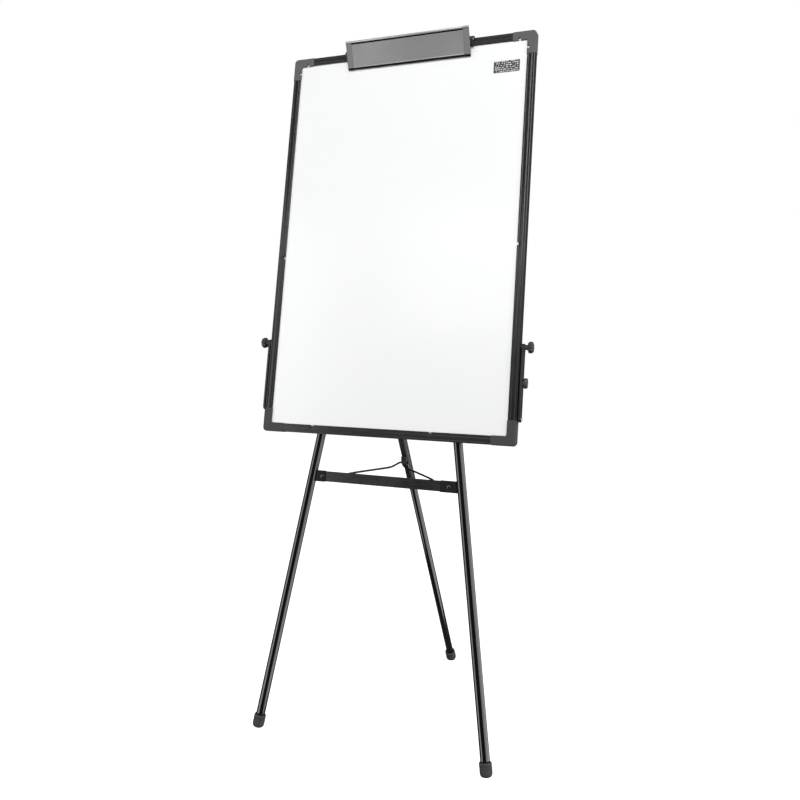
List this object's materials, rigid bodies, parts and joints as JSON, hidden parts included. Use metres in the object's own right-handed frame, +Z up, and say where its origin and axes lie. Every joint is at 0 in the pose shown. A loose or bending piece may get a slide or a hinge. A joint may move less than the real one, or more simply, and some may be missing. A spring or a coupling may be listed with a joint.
{
  "type": "flipchart easel",
  "caption": "Portrait white board in a dark frame with a sprung paper clamp on top, on a folding tripod with a telescopic rear leg and a wire brace.",
  "frame": {"origin": "on the floor, in the middle of the footprint's bounding box", "axes": "+Z up, -Y the way the writing face looks, +X to the right of somebody facing the board"},
  "size_m": [0.651, 0.5556, 1.563],
  "materials": {
    "sheet": "white lacquered steel sheet, glossy",
    "core": "honeycomb board",
    "back_sheet": "plain zinc-coated sheet",
    "rail": "black anodised extrusion, satin",
    "cap_grey": "grey moulded, fine texture",
    "cap_dark": "dark grey moulded, fine texture",
    "label": "plain printed sticker",
    "steel": "bright zinc",
    "enamel": "glossy black enamel",
    "matte_black": "matt black powder coat",
    "black_plastic": "black moulded",
    "rubber": "moulded rubber",
    "bar": "satin black strip",
    "wire": "black coated spring wire",
    "clamp_face": "satin grey extrusion",
    "clamp_end": "grey moulded",
    "knob": "dark grey moulded"
  },
  "bodies": {
    "frame": {"arm_stud_left": "steel", "arm_stud_right": "steel", "back_rail": "matte_black", "back_sheet": "back_sheet", "bar_bracket_left": "black_plastic", "bar_bracket_right": "black_plastic", "bar_rivet_left": "steel", "bar_rivet_right": "steel", "board_core": "core", "brace_hook_left": "bar", "brace_hook_right": "bar", "clamp_bracket_left": "black_plastic", "clamp_bracket_right": "black_plastic", "clamp_rod": "steel", "clamp_spring": "steel", "corner_bottom_left": "cap_dark", "corner_bottom_right": "cap_dark", "corner_top_left": "cap_grey", "corner_top_right": "cap_grey", "crossbar": "bar", "head_block": "black_plastic", "hinge_bracket": "matte_black", "hinge_pin": "steel", "label_sticker": "label", "leg_foot_left": "rubber", "leg_foot_right": "rubber", "leg_plug_left": "black_plastic", "leg_plug_right": "black_plastic", "leg_saddle_lower_left": "matte_black", "leg_saddle_lower_right": "matte_black", "leg_saddle_upper_left": "matte_black", "leg_saddle_upper_right": "matte_black", "leg_tube_left": "enamel", "leg_tube_right": "enamel", "rail_bottom": "rail", "rail_left": "rail", "rail_right": "rail", "rail_top": "rail", "writing_sheet": "sheet"},
    "clamp": {"clamp_plate": "clamp_face", "clamp_end_left": "clamp_end", "clamp_end_right": "clamp_end"},
    "rear_upper": {"rear_knuckle": "black_plastic", "rear_leg_upper": "matte_black", "rear_bushing": "black_plastic", "brace_clip": "black_plastic"},
    "rear_lower": {"rear_leg_lower": "enamel", "rear_foot": "rubber"},
    "brace": {"brace_wire": "wire"},
    "arm_left": {"side_arm_left": "matte_black", "arm_pin_left": "steel"},
    "arm_right": {"side_arm_right": "matte_black", "arm_pin_right": "steel"},
    "knob_left": {"arm_knob_left": "knob"},
    "knob_right": {"arm_knob_right": "knob"},
    "stop_knob_body": {"stop_knob": "knob"}
  },
  "joints": [
    {"name": "clamp_hinge", "type": "hinge", "parent": "frame", "child": "clamp", "pos_m": [0, -0.04527, 1.5364], "axis": [-1, 0, 0], "range_deg": [0, 24], "stiffness_Nm_per_rad": 0.6, "springref_deg": -22.92},
    {"name": "rear_leg_fold", "type": "hinge", "parent": "frame", "child": "rear_upper", "pos_m": [0, -0.12818, 0.74211], "axis": [-1, 0, 0], "range_deg": [0, 30]},
    {"name": "brace_swing", "type": "hinge", "parent": "rear_upper", "child": "brace", "pos_m": [0, -0.05688, 0.57951], "axis": [1, 0, 0], "range_deg": [0, 94]},
    {"name": "rear_leg_extend", "type": "slide", "parent": "rear_upper", "child": "rear_lower", "axis": [0, 0.4726, -0.8813], "range_m": [-0.12, 0.03]},
    {"name": "arm_left_swing", "type": "hinge", "parent": "frame", "child": "arm_left", "pos_m": [-0.305, -0.14559, 0.85455], "axis": [-1, 0, 0], "range_deg": [0, 90]},
    {"name": "arm_right_swing", "type": "hinge", "parent": "frame", "child": "arm_right", "pos_m": [0.305, -0.14559, 0.85455], "axis": [-1, 0, 0], "range_deg": [0, 90]},
    {"name": "knob_left_turn", "type": "hinge", "parent": "frame", "child": "knob_left", "pos_m": [-0.318, -0.14559, 0.85455], "axis": [-1, 0, 0], "continuous": true},
    {"name": "knob_right_turn", "type": "hinge", "parent": "frame", "child": "knob_right", "pos_m": [0.318, -0.14559, 0.85455], "axis": [1, 0, 0], "continuous": true},
    {"name": "stop_knob_turn", "type": "hinge", "parent": "arm_right", "child": "stop_knob_body", "pos_m": [0.312, -0.15823, 0.78063], "axis": [1, 0, 0], "continuous": true}
  ],
  "couplings": [
    {"joint": "brace_swing", "follows": "rear_leg_fold", "ratio": 3.1}
  ]
}
